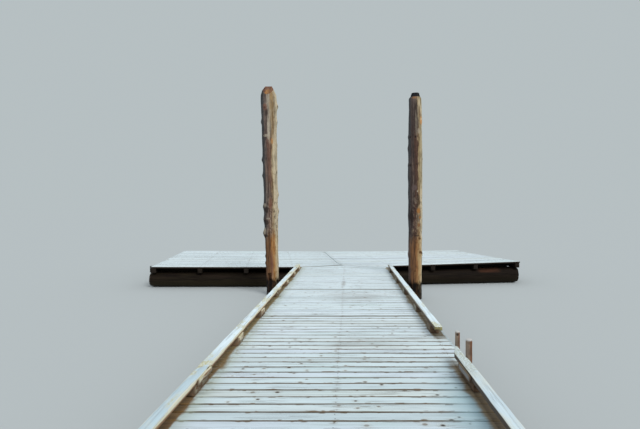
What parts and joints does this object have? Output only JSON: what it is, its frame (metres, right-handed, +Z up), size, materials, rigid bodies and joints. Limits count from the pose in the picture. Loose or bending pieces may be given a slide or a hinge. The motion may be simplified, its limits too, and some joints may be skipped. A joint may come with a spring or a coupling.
{
  "type": "floating log jetty",
  "caption": "Floating timber jetty: a plank walkway with low side rails leads from the shore to a wide head of two log rafts, held between two tall log piles.",
  "frame": {"origin": "middle of the whole jetty in plan, at the level of the float logs' undersides, on which it rests", "axes": "+Y along the walkway from the shore out over the lake, +X to the right as one walks out, +Z up"},
  "size_m": [10.3894, 23.8733, 4.8708],
  "materials": {
    "deck_board": "bare plank weathered to pale silver grey",
    "rail_plank": "bare plank weathered grey, with pale lichen",
    "framing_timber": "damp sawn timber with pale end grain",
    "float_log": "wet peeled log, dark and slimy below",
    "pile_wood": "rough peeled trunk, brown with grey and ochre sides and a dark wet foot",
    "post_wood": "round brown pole with a pale cut top"
  },
  "bodies": {
    "root": {"shore_bay_boards": "deck_board", "near_bay_boards": "deck_board", "far_bay_boards": "deck_board", "shore_bay_stringers": "framing_timber", "near_bay_stringers": "framing_timber", "far_bay_stringers": "framing_timber", "shore_bay_headers": "framing_timber", "near_bay_headers": "framing_timber", "far_bay_headers": "framing_timber", "shore_bay_sleepers": "framing_timber", "near_bay_sleepers": "framing_timber", "far_bay_sleepers": "framing_timber", "shore_bay_logs": "float_log", "near_bay_logs": "float_log", "far_bay_logs": "float_log", "left_rail_shore": "rail_plank", "left_rail_near": "rail_plank", "left_rail_middle": "rail_plank", "left_rail_far": "rail_plank", "right_rail_shore": "rail_plank", "right_rail_near": "rail_plank", "right_rail_far": "rail_plank", "left_rail_blocks": "rail_plank", "right_rail_blocks": "rail_plank", "left_raft_boards": "deck_board", "left_raft_beams": "framing_timber", "left_raft_front_log": "float_log", "left_raft_middle_log": "float_log", "left_raft_back_log": "float_log", "right_raft_boards": "deck_board", "right_raft_beams": "framing_timber", "right_raft_front_log": "float_log", "right_raft_middle_log": "float_log", "right_raft_back_log": "float_log", "left_pile": "pile_wood", "right_pile": "pile_wood", "near_edge_post": "post_wood", "far_edge_post": "post_wood"}
  },
  "joints": []
}
